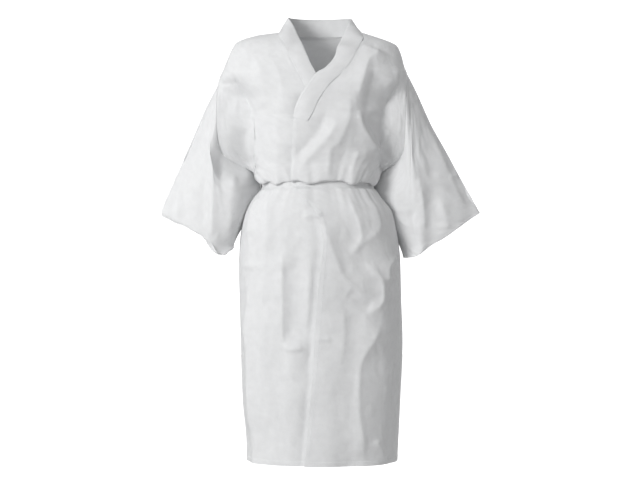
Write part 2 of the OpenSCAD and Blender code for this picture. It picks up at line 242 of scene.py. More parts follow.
# ---- Finishes ------------------------------------------------------------------------
@dataclass(frozen=True)
class ClothFinish:
    """White spunbonded nonwoven cloth: cloudy fibres, a fine grid of bond dots, a soft sheen."""

    name: str
    color: tuple[float, float, float]
    see_through: float = 0.3
    dot_pitch: float = 0.0022
    cloud: float = 0.018
    cloud_dark: float = 0.955
    fibres_per_metre: float = 900
    bond_depth: float = 0.00006
    fuzz_depth: float = 0.00005
    roughness: float = 0.82
    sheen: float = 0.12

    def material(self) -> bpy.types.Material:
        """The cloth's material, read from the piece's own UV map in metres."""
        m, nodes, link = new_material(self.name)
        uv = nodes.new("ShaderNodeUVMap")
        uv.uv_map = "Flat"
        clouds = noise_node(nodes, 1 / self.cloud, 5, 0.62)
        fibres = noise_node(nodes, self.fibres_per_metre, 3, 0.7)
        turned = set_node(nodes, "Mapping", {
            "Rotation": (0, 0, math.radians(45)), "Scale": (1 / self.dot_pitch,) * 3})
        dots = set_node(nodes, "TexVoronoi", {"Randomness": 0.0, "Scale": 1.0},
                        voronoi_dimensions="2D")
        for target in (clouds, fibres, turned):
            link(uv.outputs["UV"], target.inputs["Vector"])
        link(turned.outputs["Vector"], dots.inputs["Vector"])
        tint = nodes.new("ShaderNodeValToRGB")
        thick, thin = tint.color_ramp.elements
        thick.position, thin.position = 0.3, 0.7
        thick.color = (*[c * self.cloud_dark for c in self.color], 1)
        thin.color = (*self.color, 1)
        link(clouds.outputs["Fac"], tint.inputs["Fac"])
        pressed = set_node(nodes, "MapRange", {"From Min": 0.16, "From Max": 0.30})
        link(dots.outputs["Distance"], pressed.inputs["Value"])
        bond = bump_node(nodes, 0.5, self.bond_depth)
        link(pressed.outputs["Result"], bond.inputs["Height"])
        fuzz = bump_node(nodes, 0.35, self.fuzz_depth)
        link(fibres.outputs["Fac"], fuzz.inputs["Height"])
        link(bond.outputs["Normal"], fuzz.inputs["Normal"])
        shader = set_node(nodes, "BsdfPrincipled", {
            "Roughness": self.roughness, "Sheen Weight": self.sheen, "Sheen Roughness": 0.4,
            "Specular IOR Level": 0.3})
        link(tint.outputs["Color"], shader.inputs["Base Color"])
        link(fuzz.outputs["Normal"], shader.inputs["Normal"])
        through = nodes.new("ShaderNodeBsdfTranslucent")
        link(tint.outputs["Color"], through.inputs["Color"])
        share = set_node(nodes, "MapRange", {
            "To Min": self.see_through * 1.2, "To Max": self.see_through * 0.8})
        link(clouds.outputs["Fac"], share.inputs["Value"])
        both = nodes.new("ShaderNodeMixShader")
        link(share.outputs["Result"], both.inputs["Fac"])
        link(shader.outputs["BSDF"], both.inputs[1])
        link(through.outputs["BSDF"], both.inputs[2])
        link(both.outputs["Shader"], nodes["Material Output"].inputs["Surface"])
        return m


@dataclass(frozen=True)
class ThreadFinish:
    """White spun polyester sewing thread, with its twist as fine ridges."""

    name: str = "sewing_thread"
    color: tuple[float, float, float] = (0.86, 0.87, 0.88)
    ridges_per_metre: float = 2500
    ridge_depth: float = 0.0001

    def material(self) -> bpy.types.Material:
        """The thread's material, read from Object coordinates."""
        m, nodes, link = new_material(self.name)
        place = nodes.new("ShaderNodeTexCoord")
        twist = noise_node(nodes, self.ridges_per_metre, 2, 0.5)
        link(place.outputs["Object"], twist.inputs["Vector"])
        ridges = bump_node(nodes, 0.4, self.ridge_depth)
        link(twist.outputs["Fac"], ridges.inputs["Height"])
        shader = set_node(nodes, "BsdfPrincipled", {
            "Base Color": (*self.color, 1), "Roughness": 0.6, "Sheen Weight": 0.2})
        link(ridges.outputs["Normal"], shader.inputs["Normal"])
        link(shader.outputs["BSDF"], nodes["Material Output"].inputs["Surface"])
        return m


@dataclass(frozen=True)
class StudioFinish:
    """Plain matt white studio surface with the faintest mottling."""

    name: str
    level: float
    glow: float

    def material(self) -> bpy.types.Material:
        """The surface's material, read from Object coordinates."""
        m, nodes, link = new_material(self.name)
        place = nodes.new("ShaderNodeTexCoord")
        grain = noise_node(nodes, 1.5, 2, 0.5)
        link(place.outputs["Object"], grain.inputs["Vector"])
        tone = nodes.new("ShaderNodeValToRGB")
        for stop, share in zip(tone.color_ramp.elements, (0.995, 1.0)):
            stop.color = (self.level * share,) * 3 + (1,)
        link(grain.outputs["Fac"], tone.inputs["Fac"])
        shader = set_node(nodes, "BsdfPrincipled", {
            "Roughness": 0.95, "Specular IOR Level": 0.0, "Emission Strength": self.glow})
        for socket in ("Base Color", "Emission Color"):
            link(tone.outputs["Color"], shader.inputs[socket])
        link(shader.outputs["BSDF"], nodes["Material Output"].inputs["Surface"])
        return m


def new_material(name: str) -> tuple[bpy.types.Material, bpy.types.Nodes, Callable]:
    """An empty node material.

    Args:
        name: the material's name.

    Returns:
        The material, its nodes and the function that links them.
    """
    m = bpy.data.materials.new(name)
    m.use_nodes = True
    nodes = m.node_tree.nodes
    for node in list(nodes):
        nodes.remove(node)
    nodes.new("ShaderNodeOutputMaterial").name = "Material Output"
    return m, nodes, m.node_tree.links.new


def set_node(nodes: bpy.types.Nodes, kind: str, sockets: dict[str, float | tuple],
             **choices: str) -> bpy.types.Node:
    """A shader node of this kind, with these socket values and choices."""
    node = nodes.new(f"ShaderNode{kind}")
    for socket, value in sockets.items():
        node.inputs[socket].default_value = value
    for choice, value in choices.items():
        setattr(node, choice, value)
    return node


def noise_node(nodes: bpy.types.Nodes, scale: float, detail: float, rough: float) -> bpy.types.Node:
    """A noise texture with this scale, detail and roughness."""
    return set_node(nodes, "TexNoise", {"Scale": scale, "Detail": detail, "Roughness": rough})


def bump_node(nodes: bpy.types.Nodes, strength: float, depth: float) -> bpy.types.Node:
    """A bump of this strength and depth in metres."""
    return set_node(nodes, "Bump", {"Strength": strength, "Distance": depth})


# ---- Meshes --------------------------------------------------------------------------
def select_only(piece: bpy.types.Object) -> None:
    """Makes piece the one selected and active object."""
    bpy.ops.object.select_all(action="DESELECT")
    piece.select_set(True)
    bpy.context.view_layer.objects.active = piece


def grid_normals(grid: np.ndarray, closed: bool) -> np.ndarray:
    """The outward normals of a grid whose columns run clockwise and whose rows run down."""
    if closed:
        du = np.roll(grid, -1, 1) - np.roll(grid, 1, 1)
    else:
        du = np.gradient(grid, axis=1)
    n = np.cross(np.gradient(grid, axis=0), du)
    return n / np.maximum(np.linalg.norm(n, axis=2, keepdims=True), 1e-12)


def flat_places(grid: np.ndarray, closed: bool) -> np.ndarray:
    """Where each point of a hung sheet lies on the flat cloth, in metres."""
    run = np.linalg.norm(np.diff(grid, axis=1), axis=2)
    fall = np.linalg.norm(np.diff(grid, axis=0), axis=2)
    u = np.concatenate([np.zeros((len(grid), 1)), np.cumsum(run, 1)], 1)
    if not closed:
        u = u - u[:, -1:]
    v = np.concatenate([np.zeros((1, grid.shape[1])), np.cumsum(fall, 0)], 0)
    return np.stack([u, np.repeat(v.mean(1)[:, None], grid.shape[1], 1)], 2)


def new_piece(name: str, points: Sequence, faces: Sequence) -> bpy.types.Object:
    """A new piece with this mesh, the one selected and active object."""
    mesh = bpy.data.meshes.new(name)
    mesh.from_pydata(points, [], faces)
    piece = bpy.data.objects.new(name, mesh)
    bpy.context.scene.collection.objects.link(piece)
    select_only(piece)
    return piece


def sheet_piece(name: str, grid: np.ndarray, thickness: float,
                closed: bool = False) -> bpy.types.Object:
    """A sheet of cloth whose outside is a grid of points.

    Args:
        name: the piece's name.
        grid: rows by columns by 3; columns run clockwise and rows down, as seen from outside.
        thickness: the cloth's thickness, which goes inwards.
        closed: whether the last column joins the first.

    Returns:
        The piece, with its UV map in metres.
    """
    rows, cols = grid.shape[:2]
    spans = cols if closed else cols - 1
    i, j = np.meshgrid(np.arange(rows - 1), np.arange(spans), indexing="ij")
    right = (j + 1) % cols
    faces = np.stack([i * cols + j, (i + 1) * cols + j, (i + 1) * cols + right,
                      i * cols + right], 2).reshape(-1, 4)
    piece = new_piece(name, grid.reshape(-1, 3).tolist(), faces.tolist())
    mesh = piece.data
    layer = mesh.uv_layers.new(name="Flat")
    loops = np.zeros(len(mesh.loops), int)
    mesh.loops.foreach_get("vertex_index", loops)
    uv = flat_places(grid, closed).reshape(-1, 2)[loops].reshape(-1, 4, 2)
    if closed:
        jump = uv[:, :, 0].max(1) - uv[:, :, 0].min(1) > SEAM_JUMP
        low = uv[:, :, 0] < uv[:, :, 0].max(1, keepdims=True) - SEAM_JUMP
        around = uv[:, :, 0].max()
        uv[:, :, 0] += np.where(jump[:, None] & low, around, 0)
    layer.data.foreach_set("uv", uv.reshape(-1))
    solid = piece.modifiers.new("thickness", "SOLIDIFY")
    solid.thickness = thickness
    solid.offset = -1
    bpy.ops.object.modifier_apply(modifier=solid.name)
    bpy.ops.object.shade_smooth_by_angle(angle=CREASE_ANGLE)
    return piece


def stitches(name: str, line: np.ndarray, out: np.ndarray) -> bpy.types.Object:
    """A row of lockstitches along a line on the cloth.

    Args:
        name: the piece's name.
        line: the points that the row follows.
        out: the cloth's outward normal at each of them.

    Returns:
        The piece.
    """
    gaps = np.linalg.norm(np.diff(line, axis=0), axis=1)
    s = np.concatenate([[0], np.cumsum(gaps)])
    centres = np.arange(STITCH_PITCH, s[-1] - STITCH_PITCH, STITCH_PITCH)
    along = np.array([-0.5, -0.38, 0.0, 0.38, 0.5]) * STITCH_LENGTH
    sunk = np.array([-0.9, 0.1, 0.5, 0.1, -0.9]) * THREAD_RADIUS
    size = np.array([0.45, 0.9, 1.0, 0.9, 0.45]) * THREAD_RADIUS
    sides, rings = 6, len(along)
    turns = np.arange(sides) * 2 * math.pi / sides
    verts, faces = [], []

    def on(values: np.ndarray, place: np.ndarray) -> np.ndarray:
        """The values at these lengths along the line."""
        return np.stack([np.interp(place, s, values[:, k]) for k in range(3)], -1)

    for c in centres:
        spots = on(line, c + along)
        normal = on(out, c + along)
        ahead = on(line, c + along + 0.0005) - on(line, c + along - 0.0005)
        across = np.cross(ahead, normal)
        across /= np.maximum(np.linalg.norm(across, axis=1, keepdims=True), 1e-12)
        base = len(verts)
        for k in range(rings):
            for a in turns:
                swing = math.cos(a) * across[k] + math.sin(a) * normal[k]
                verts.append(spots[k] + sunk[k] * normal[k] + size[k] * swing)
        for k in range(rings - 1):
            low, high = base + sides * k, base + sides * (k + 1)
            for a in range(sides):
                b = (a + 1) % sides
                faces.append([low + a, low + b, high + b, high + a])
        faces.append([base + a for a in reversed(range(sides))])
        faces.append([base + sides * (rings - 1) + a for a in range(sides)])
    piece = new_piece(name, [tuple(v) for v in verts], faces)
    bpy.ops.object.mode_set(mode="EDIT")
    bpy.ops.mesh.select_all(action="SELECT")
    bpy.ops.mesh.normals_make_consistent(inside=False)
    bpy.ops.object.mode_set(mode="OBJECT")
    bpy.ops.object.shade_smooth()
    return piece


def dress(piece: bpy.types.Object, material: bpy.types.Material) -> None:
    """Gives a piece its material and logs its face count."""
    piece.data.materials.clear()
    piece.data.materials.append(material)
    log.info("%s: %d faces", piece.name, len(piece.data.polygons))


def sew_on(piece: bpy.types.Object, thread: bpy.types.Material, body: str, *nodes: str) -> None:
    """Rides a row of stitches on a body, in place of any CAD nodes, and dresses it."""
    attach(piece, body)
    if nodes:
        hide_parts(*nodes)
    dress(piece, thread)


# ---- The worn shape of the body of the gown ------------------------------------------
@dataclass(frozen=True)
class BodyForm:
    """The rings of the gown's body as it is worn, from the neck points to the hem."""

    ring_power: float = 2.3
    underarm: float = 0.345
    waist: float = 0.380
    belt_half: float = 0.0125
    hem: float = 1.075
    armhole_depth: float = 0.045
    shoulder_back: float = 0.015
    left_half: Profile = Profile((
        (0, 96), (5, 118), (16, 152), (30, 188), (38, 200), (60, 209), (90, 217), (108, 223),
        (134, 221), (234, 218), (290, 216), (312, 209), (326, 199), (336, 188), (345, 174),
        (353, 158), (360, 147), (366, 141), (383, 138.6), (398, 143), (420, 160), (454, 186),
        (500, 197), (570, 206), (675, 209), (776, 212), (930, 206), (1075, 199)))
    right_half: Profile = Profile((
        (0, 96), (2, 99), (5, 140), (12, 170), (20, 194), (29, 208), (45, 217), (90, 236), (134, 252),
        (200, 253), (270, 250), (300, 243), (318, 228), (334, 204), (345, 178), (353, 159),
        (360, 147), (366, 141), (383, 138.6), (398, 144), (420, 163), (461, 184), (500, 193),
        (537, 197), (600, 199), (675, 197), (927, 189), (1028, 180), (1075, 179)))
    front: Profile = Profile((
        (0, 8), (5, 30), (12, 44), (30, 64), (60, 86), (110, 105), (200, 118), (300, 110),
        (366, 104), (383, 103), (400, 107), (440, 122), (500, 131), (600, 134), (1075, 138)))
    back: Profile = Profile((
        (0, 76), (5, 79), (30, 90), (60, 100), (110, 112), (200, 118), (300, 106), (366, 96),
        (383, 95), (400, 99), (440, 116), (500, 129), (600, 136), (1075, 134)))
    torso: Profile = Profile((
        (100, 215), (140, 196), (180, 176), (240, 160), (300, 156), (345, 151), (360, 147),
        (366, 141), (383, 138.6), (392, 300), (1075, 300)))
    torso_from: float = 0.10
    torso_over: float = 0.08
    flank_blend: float = 0.006
    belt_fade: float = 0.012
    armhole_tops: dict[Side, float] = field(
        default_factory=lambda: {Side.LEFT: 0.100, Side.RIGHT: 0.134})

    def half(self, side: Side, drop: np.ndarray) -> np.ndarray:
        """Half width of the body on one side."""
        return (self.left_half if side is Side.LEFT else self.right_half).at(drop)

    def rim(self, side: Side, drop: np.ndarray, back: bool) -> np.ndarray:
        """How far the panel's edge lies from the middle plane, which opens the armhole."""
        top = self.armhole_tops[side]
        t = np.clip((drop - top) / (self.underarm - top), 0, 1)
        shoulder = (1 if back else -1) * self.shoulder_back * (1 - ease(drop / 0.06))
        return np.where(drop < top, shoulder,
                        self.armhole_depth * np.sin(math.pi * t) ** 0.7)

    def point(self, drop: np.ndarray, phi: np.ndarray) -> np.ndarray:
        """A point of the body: phi is 0 at the front middle, 90 at the wearer's left."""
        drop, phi = np.broadcast_arrays(np.asarray(drop, float), np.radians(phi))
        out = np.zeros(drop.shape + (3,))
        for side in Side:
            for back in (False, True):
                here = ((np.sin(phi) < 0) == (side is Side.RIGHT)) & ((np.cos(phi) < 0) == back)
                d = drop[here]
                s, c = np.abs(np.sin(phi[here])), np.abs(np.cos(phi[here]))
                full = (self.back if back else self.front).at(d)
                rim = self.rim(side, d, back)
                oval = rim + (full - rim) * c ** (2 / self.ring_power)
                half = self.half(side, d)
                x = half * s ** (2 / self.ring_power)
                share = np.clip(x / np.minimum(self.torso.at(d), half), 0, 1)
                chest = full * (1 - share ** self.ring_power) ** (1 / self.ring_power)
                wing = np.abs(rim)
                soft = np.minimum(self.flank_blend, wing / 2)
                worn = (chest + wing + np.sqrt((chest - wing) ** 2 + soft ** 2)) / 2
                depth = oval + (worn - oval) * ease((d - self.torso_from) / self.torso_over)
                out[here] = np.stack([side.value * x, (1 if back else -1) * depth, -d], 1)
        return out

    def normal(self, drop: np.ndarray, phi: np.ndarray) -> np.ndarray:
        """The outward normal of the body's surface."""
        phi = np.asarray(phi, float)
        quarter = np.round(phi / 180) * 180
        tame = quarter + np.clip(phi - quarter, -87, 87)
        d = np.clip(drop, 0.004, None)
        across = self.point(d, tame + 0.7) - self.point(d, tame - 0.7)
        down = self.point(d + 0.003, tame) - self.point(d - 0.003, tame)
        n = np.cross(down, across)
        return n / np.maximum(np.linalg.norm(n, axis=-1, keepdims=True), 1e-12)

    def angle(self, x: np.ndarray, drop: np.ndarray) -> np.ndarray:
        """The angle at which the front's ring passes x."""
        x, drop = np.broadcast_arrays(np.asarray(x, float), np.asarray(drop, float))
        width = np.where(x < 0, self.right_half.at(drop), self.left_half.at(drop))
        share = np.clip(np.abs(x) / width, 0, 1) ** (self.ring_power / 2)
        return np.sign(x) * np.degrees(np.arcsin(share))

    def belted(self, drop: np.ndarray) -> np.ndarray:
        """1 under the belt and 0 away from it."""
        return 1 - ease((np.abs(drop - self.waist) - self.belt_half) / self.belt_fade)


FRONT_FOLDS: tuple[Fold, ...] = (
    # Left shoulder, the hollow before the armpit and the chest's edge
    Fold([(150, 53), (141, 68), (121, 87), (107, 131), (92, 177)], 9, 24, 26),
    Fold([(150, 110), (135, 150), (128, 205)], -9, 20, 30, Crest.ROUNDED),
    Fold([(96, 205), (103, 242), (124, 280), (143, 311)], 13, 26, 9),
    Fold([(122, 215), (146, 258), (164, 312), (166, 335)], -9, 12, 22, Crest.ROUNDED),
    Fold([(143, 311), (160, 282), (180, 250)], 8, 9, 10),
    # Bust on the left, with the shaded side towards the arm
    Fold([(77, 175), (72, 216), (53, 277), (29, 304), (26, 345), (31, 374)], 9, 42, 17),
    Fold([(17, 216), (0, 260), (-27, 290), (-59, 325)], -6, 13, 12),
    Fold([(48, 225), (22, 272), (-8, 306), (-46, 350)], 7, 14, 16),
    Fold([(96, 300), (82, 340), (70, 372)], 7, 9, 26),
    # Right chest
    Fold([(-162, 200), (-156, 276), (-151, 328), (-138, 370)], 9, 9, 30),
    Fold([(-184, 240), (-180, 310), (-166, 344)], -8, 24, 11, Crest.ROUNDED),
    Fold([(-101, 215), (-98, 300), (-96, 372)], 4, 8, 16),
    Fold([(-66, 290), (-64, 372)], -4, 12, 10),
    Fold([(-42, 160), (-54, 204), (-59, 232)], -6, 12, 10),
    Fold([(-170, 50), (-140, 120), (-128, 205)], 5, 34, 22),
    Fold([(-118, 70), (-92, 130), (-84, 215)], 4, 22, 26),
    # Skirt, left side: the drape that falls from the waist across the hip
    Fold([(-39, 468), (-10, 466), (10, 468)], 4, 5, 8),
    Fold([(11, 467), (21, 514), (40, 566), (60, 612), (87, 640), (128, 674)], 7, 30, 17),
    Fold([(66, 398), (84, 448), (98, 486), (103, 523), (78, 558)], 6, 9, 26),
    Fold([(130, 430), (147, 495), (108, 532), (78, 561)], 4, 26, 10),
    Fold([(117, 584), (146, 616), (155, 650), (148, 682), (117, 708)], 7, 8, 14),
    Fold([(72, 648), (104, 672), (130, 690)], -4, 13, 12, Crest.ROUNDED),
    Fold([(196, 560), (168, 592), (166, 632)], 8, 9, 9),
    Fold([(150, 725), (131, 768), (100, 826), (94, 928), (103, 1007), (109, 1070)], 14, 62, 26),
    Fold([(135, 1010), (165, 1070)], 4, 12, 12),
    Fold([(60, 700), (62, 760), (52, 830)], 4, 26, 14),
    # Skirt, right side: pressed pleats and packing creases
    Fold([(-88, 552), (-87, 660), (-86, 790)], 6, 34, 7),
    Fold([(-58, 560), (-56, 670), (-58, 785)], -6, 20, 22, Crest.ROUNDED),
    Fold([(-86, 789), (-60, 791), (-35, 788)], 4, 4, 9),
    Fold([(-20, 560), (-22, 650), (-26, 740)], 4, 10, 9),
    Fold([(-193, 690), (-170, 788), (-166, 900), (-164, 1020)], 9, 12, 34),
    Fold([(-150, 415), (-168, 470), (-172, 520)], 6, 10, 16),
    Fold([(-118, 410), (-126, 470), (-128, 560)], 4, 12, 14),
    Fold([(-190, 588), (-160, 590), (-139, 587)], 3, 5, 9),
    Fold([(-132, 600), (-140, 760), (-136, 1000)], 4, 20, 26),
    Fold([(-5, 767), (30, 765)], 2.5, 4, 6),
)
BACK_FOLDS: tuple[Fold, ...] = (
    Fold([(-20, 70), (-24, 180), (-10, 340)], 5, 26, 20),
    Fold([(95, 110), (70, 230), (48, 366)], 9, 26, 20),
    Fold([(-110, 100), (-84, 240), (-50, 366)], 9, 20, 28),
    Fold([(30, 300), (-6, 335), (-40, 366)], 6, 12, 14),
    Fold([(-70, 396), (-84, 600), (-92, 1072)], 10, 34, 26),
    Fold([(-26, 396), (-20, 620), (-34, 1072)], 8, 22, 30),
    Fold([(24, 396), (44, 640), (34, 1072)], 9, 30, 20),
    Fold([(84, 396), (110, 620), (104, 1072)], 10, 22, 34),
    Fold([(120, 420), (150, 520), (158, 640)], 6, 16, 18),
    Fold([(-110, 420), (-146, 520), (-150, 660)], 6, 18, 16),
    Fold([(60, 790), (0, 792), (-70, 788)], 3, 6, 6),
)


@dataclass(frozen=True)
class Relief:
    """All that lifts the cloth off the plain worn shape: folds, gathers, facets."""

    form: BodyForm
    folds: tuple[Fold, ...]
    facets: tuple[Facets, ...]
    seed: float
    blouse: float = 0.0055
    gather: float = 0.0026
    droop: float = 0.025
    mean_radius: float = 0.15
    skirt_wave: float = 0.004
    gather_reach: float = 0.045
    belt_flattening: float = 0.88
    settle_drop: float = 0.05
    lip_above: float = 0.021
    lip_depth: float = 0.0085

    def height(self, x: np.ndarray, drop: np.ndarray, phi: np.ndarray) -> np.ndarray:
        """Height of the cloth in metres at each place on the body."""
        girth = np.radians(phi) * self.mean_radius
        h = sum(f.relief(x, drop) for f in self.folds)
        h = h + sum(f.relief(girth, drop) for f in self.facets)
        skirt = ease((drop - self.form.waist) / 0.5)
        h = h + self.skirt_wave * skirt * waves(girth, (0.13, 0.083, 0.057), self.seed)
        near = np.exp(-np.abs(drop - self.form.waist) / self.gather_reach)
        h = h + self.gather * near * waves(girth, (0.036, 0.023, 0.0155), self.seed + 1)
        h = h + self.blouse * bump(drop, self.form.waist - 0.027, 0.014)
        h = h + 0.6 * self.blouse * bump(drop, self.form.waist + 0.024, 0.012)
        return h * (1 - self.belt_flattening * self.form.belted(drop))


def surface(form: BodyForm, relief: Relief, drop: np.ndarray, phi: np.ndarray,
            lift: np.ndarray | float) -> np.ndarray:
    """Points of the hung cloth.

    Args:
        form: the worn shape.
        relief: the cloth's folds.
        drop: distance below the neck points.
        phi: angle round the body.
        lift: how far the cloth lies off the shape's own surface.

    Returns:
        The points, as drop and phi are laid out.
    """
    drop, phi = np.broadcast_arrays(np.asarray(drop, float), np.asarray(phi, float))
    base = form.point(drop, phi)
    flat = np.abs(np.cos(np.radians(phi)))
    settle = ease(1.9 * flat) * ease(drop / relief.settle_drop)
    rise = relief.height(base[..., 0], drop, phi) * settle + lift * np.minimum(1, 1.8 * flat)
    hung = base + form.normal(drop, phi) * rise[..., None]
    uneven = 0.9 + 0.22 * waves(np.radians(phi) * relief.mean_radius, (0.09, 0.047), 0.6)
    lip = ease(2.2 * flat) * bump(drop, form.waist - relief.lip_above, relief.lip_depth)
    hung[..., 2] -= relief.droop * uneven * lip
    return hung


# ---- The gown's pieces ---------------------------------------------------------------
@dataclass
class GownPanels:
    """The two fronts and the back, each one panel of cloth from the shoulder to the hem."""

    form: BodyForm
    cloth: bpy.types.Material
    thread: bpy.types.Material
    thickness: float = 0.0005
    row_step: float = 0.0042
    front_cols: int = 96
    back_cols: int = 150
    lap: float = 0.0042
    lap_under_belt: float = 0.0012
    hem_turning: float = 0.012
    hem_lift: float = 0.0005
    side_tuck: float = 2.8
    tuck_depth: float = 0.0012
    edge_curl: float = 0.004
    edge_dip: float = 0.006
    over_edge: Profile = Profile((
        (0, 97), (28, 113), (38, 106), (50, 92), (85, 76), (122, 45), (140, 22), (164, 0),
        (196, -22), (212, -40), (225, -58), (245, -60), (310, -62), (383, -65), (400, -54),
        (428, -30), (468, -1), (500, 9), (532, 12), (600, 5), (680, -3), (880, -16),
        (1075, -32)))
    under_edge: Profile = Profile((
        (0, 97), (45, 78), (73, 68), (106, 50), (150, 30), (210, 6), (225, -30), (383, -80),
        (470, -104), (1075, -104)))

    def __post_init__(self) -> None:
        """Sets the cloth's relief and its rows."""
        self.front_relief = Relief(self.form, FRONT_FOLDS, (
            Facets(58, 120, 5.0, 3.1), Facets(26, 44, 2.0, 7.7)), 2.2)
        self.back_relief = Relief(self.form, BACK_FOLDS, (
            Facets(66, 130, 5.4, 11.3), Facets(28, 50, 2.2, 5.9)), 6.1)
        hem = self.form.hem
        fine = [hem - self.hem_turning + off for off in (-0.0012, -0.0002, 0.0008)]
        self.drops = np.unique(np.round(np.concatenate([
            [0.0015], np.arange(0.004, hem, self.row_step), fine, [hem - 0.0008, hem],
            np.arange(0.346, 0.374, 0.0014)]), 5))

    def lap_at(self, drop: np.ndarray) -> np.ndarray:
        """How far the over panel lies off the under panel."""
        return self.lap + (self.lap_under_belt - self.lap) * self.form.belted(drop)

    def turned_hem(self, grid: np.ndarray, edge: int | None) -> np.ndarray:
        """Lifts the turned and pressed hem, and the turning along a free edge column."""
        n = grid_normals(grid, False)
        low = self.drops > self.form.hem - self.hem_turning
        lift = np.repeat(np.where(low, self.hem_lift, 0.0)[:, None], grid.shape[1], 1)
        if edge is not None:
            rail = grid[:, edge][:, None]
            away = np.linalg.norm(grid - rail, axis=2)
            lift = np.maximum(lift, np.where(away < self.hem_turning, self.hem_lift, 0.0))
        return grid + n * lift[..., None]

    def over_grid(self) -> np.ndarray:
        """The left front, which lies outside."""
        d = self.drops[:, None]
        start = self.form.angle(self.over_edge.at(d), d)
        u = np.linspace(0, 1, self.front_cols)[None]
        side = 90 + self.side_tuck * ease((d - 0.42) / 0.2)
        phi = start + (side - start) * u
        curl = self.edge_curl * np.exp(-u / 0.05) * (1 - self.form.belted(d)) * ease((d - 0.24) / 0.06)
        grid = surface(self.form, self.front_relief, d, phi, self.lap_at(d) + curl)
        grid[..., 0] -= self.tuck_depth * ease((phi - 89.6) / 0.6)
        return self.turned_hem(grid, 0)

    def under_grid(self) -> np.ndarray:
        """The right front, which lies inside."""
        d = self.drops[:, None]
        stop = self.form.angle(-self.under_edge.at(d), d)
        u = np.linspace(0, 1, self.front_cols)[None]
        phi = -90 + (stop + 90) * u
        edge_x = self.over_edge.at(d)
        grid = surface(self.form, self.front_relief, d, phi, 0.0)
        dip = self.edge_dip * np.exp(-np.abs(grid[..., 0] - edge_x + 0.01) / 0.018)
        skirt = ease((d - 0.44) / 0.06)
        grid[..., 1] += dip * skirt
        return self.turned_hem(grid, -1)

    def back_grid(self) -> np.ndarray:
        """The back, in one piece."""
        phi = np.linspace(90.0, 270.0, self.back_cols)[None]
        phi = np.where(phi == 90.0, 90.001, phi)
        phi = np.where(phi == 270.0, 269.999, phi)
        grid = surface(self.form, self.back_relief, self.drops[:, None], phi, 0.0)
        return self.turned_hem(grid, None)

    def hem_row(self, name: str, grid: np.ndarray) -> bpy.types.Object:
        """The stitching along the bottom hem of one panel."""
        i = int(np.argmin(np.abs(self.drops - (self.form.hem - self.hem_turning + 0.002))))
        return stitches(name, grid[i, 2:-2], grid_normals(grid, False)[i, 2:-2])

    def build(self) -> None:
        """Makes the panels, puts them in the frame and sews their hems."""
        over, under, back = self.over_grid(), self.under_grid(), self.back_grid()
        pieces = []
        for side, grid, flap, width, area in (("left", over, "over_flap", 0.42, 0.40),
                                              ("right", under, "under_flap", 0.46, 0.44)):
            front = sheet_piece(f"{side}_front", grid, self.thickness)
            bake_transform(front)
            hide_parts(f"{side}_front_upper", f"{side}_front_skirt")
            pieces.append(front)
        rear = sheet_piece("gown_back", back, self.thickness)
        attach(rear, "gown_body")
        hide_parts("back_panel")
        for piece in (*pieces, rear):
            dress(piece, self.cloth)
        rows = (("left_hem_stitching", over, "over_flap"), ("right_hem_stitching", under, "under_flap"),
                ("back_hem_stitching", back, "gown_body"))
        for name, grid, body in rows:
            sew_on(self.hem_row(name, grid), self.thread, body)
        edge = stitches("left_edge_stitching", over[56:-3, 2], grid_normals(over, False)[56:-3, 2])
        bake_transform(edge)
        dress(edge, self.thread)


LEFT_SLEEVE_FOLDS: tuple[Fold, ...] = (
    Fold([(236, 150), (232, 240), (236, 350)], -7, 18, 40, Crest.ROUNDED),
    Fold([(240, 178), (262, 160)], 3, 5, 7),
    Fold([(196, 380), (199, 480), (198, 590)], 5, 9, 9),
    Fold([(246, 370), (258, 430), (264, 500)], 6, 12, 14),
    Fold([(276, 235), (322, 350), (372, 450)], 4, 26, 7),
    Fold([(326, 366), (352, 364)], 3, 4, 5),
    Fold([(232, 440), (236, 500), (240, 560)], -5, 9, 9),
    Fold([(300, 420), (318, 470), (322, 500)], 5, 18, 14),
)
RIGHT_SLEEVE_FOLDS: tuple[Fold, ...] = (
    Fold([(-252, 165), (-268, 262), (-282, 300), (-288, 400), (-290, 520)], -8, 50, 60),
    Fold([(-250, 170), (-236, 195), (-212, 235)], 5, 8, 12),
    Fold([(-232, 205), (-238, 290), (-240, 400)], -5, 12, 12),
    Fold([(-258, 300), (-262, 400), (-262, 520)], 4, 12, 16),
    Fold([(-330, 320), (-348, 400), (-352, 470)], 4, 20, 24),
    Fold([(-205, 350), (-214, 430), (-222, 540)], 5, 12, 12),
)


